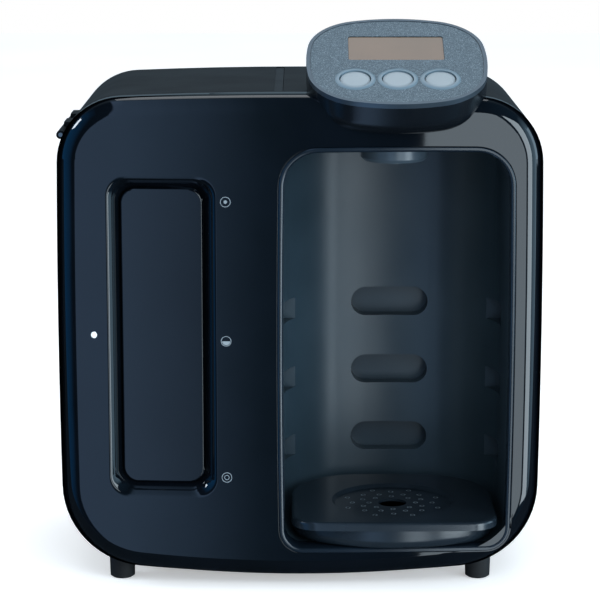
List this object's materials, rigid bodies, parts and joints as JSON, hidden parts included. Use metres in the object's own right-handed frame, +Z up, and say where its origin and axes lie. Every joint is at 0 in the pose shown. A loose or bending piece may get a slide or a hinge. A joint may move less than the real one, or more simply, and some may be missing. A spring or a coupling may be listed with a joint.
{
  "type": "baby formula maker",
  "caption": "Countertop machine that mixes a warm baby feed: water tank with a side-hinged lid, open bottle bay with sliding stand, twist-in filter holder and tilted control pod with buttons.",
  "frame": {"origin": "on the table under the middle of the whole unit", "axes": "+Z up, -Y out of the front face with the bottle bay, +X to the right seen from the front"},
  "size_m": [0.2814, 0.1915, 0.3284],
  "materials": {
    "fascia": "gloss",
    "housing": "satin",
    "grip": "satin",
    "steel": "brushed",
    "rubber": "matte",
    "bright_rim": "satin",
    "liner": "satin",
    "smoked_window": "gloss",
    "lamp_lens": "gloss",
    "tank": "gloss",
    "fittings": "matte",
    "face": "satin",
    "screen": "gloss",
    "module": "matte",
    "board": "satin",
    "button": "satin",
    "holder": "satin",
    "filter": "matte",
    "stand": "gloss",
    "motor": "satin",
    "hose": "satin"
  },
  "bodies": {
    "unit": {"front_fascia": "fascia", "rear_housing": "housing", "base_plate": "housing", "pod_bowl": "housing", "lid_hinge_pin": "steel", "board_screws": "steel", "base_screws": "steel", "boiler": "steel", "heating_element": "steel", "boiler_strap": "steel", "valve_bracket": "steel", "thermostat": "steel", "foot_front_left": "rubber", "foot_front_right": "rubber", "foot_rear_left": "rubber", "foot_rear_right": "rubber", "tank_outlet_seal": "rubber", "filter_seal": "rubber", "cord_gland": "rubber", "bay_rim": "bright_rim", "pod_rim": "bright_rim", "button_ring_left": "bright_rim", "button_ring_centre": "bright_rim", "button_ring_right": "bright_rim", "bay_liner": "liner", "tank_window": "smoked_window", "status_lamp": "lamp_lens", "water_tank": "tank", "tank_outlet": "fittings", "filter_socket": "fittings", "pump_housing": "fittings", "pump_cradle": "fittings", "outlet_valve": "fittings", "board_posts": "fittings", "pod_face": "face", "screen_lens": "screen", "screen_module": "module", "key_switches": "module", "heater_relay": "module", "display_board": "board", "main_board": "board", "power_board": "board", "pump_motor": "motor", "transformer": "motor", "inlet_hose": "hose", "feed_hose": "hose", "boiler_hose": "hose", "spout_hose": "hose"},
    "tank_lid": {"tank_lid": "housing", "lid_grip": "grip"},
    "button_left": {"button_left": "button"},
    "button_centre": {"button_centre": "button"},
    "button_right": {"button_right": "button"},
    "bottle_stand": {"bottle_stand": "stand"},
    "drip_cover": {"drip_cover": "stand"},
    "filter_holder": {"filter_holder": "holder", "water_filter": "filter"},
    "pump_rotor": {"pump_rotor": "fittings"}
  },
  "joints": [
    {"name": "lid_hinge", "type": "hinge", "parent": "unit", "child": "tank_lid", "pos_m": [-0.1389, 0.0065, 0.2643], "axis": [0, -1, 0], "range_deg": [0, 100]},
    {"name": "press_left", "type": "slide", "parent": "unit", "child": "button_left", "axis": [0, 0.4305, -0.9026], "range_m": [0, 0.0012], "stiffness_N_per_m": 800, "springref_m": -0.0004},
    {"name": "press_centre", "type": "slide", "parent": "unit", "child": "button_centre", "axis": [0, 0.4305, -0.9026], "range_m": [0, 0.0012], "stiffness_N_per_m": 800, "springref_m": -0.0004},
    {"name": "press_right", "type": "slide", "parent": "unit", "child": "button_right", "axis": [0, 0.4305, -0.9026], "range_m": [0, 0.0012], "stiffness_N_per_m": 800, "springref_m": -0.0004},
    {"name": "stand_slide", "type": "slide", "parent": "unit", "child": "bottle_stand", "axis": [0, -1, 0], "range_m": [0, 0.112]},
    {"name": "cover_lift", "type": "slide", "parent": "bottle_stand", "child": "drip_cover", "axis": [0, 0, 1], "range_m": [0, 0.04]},
    {"name": "holder_twist", "type": "hinge", "parent": "unit", "child": "filter_holder", "pos_m": [0.0555, -0.025, 0.26], "axis": [0, 0, 1], "range_deg": [0, 35]},
    {"name": "rotor_spin", "type": "hinge", "parent": "unit", "child": "pump_rotor", "pos_m": [-0.0646, -0.01, 0.031], "axis": [1, 0, 0], "continuous": true}
  ]
}
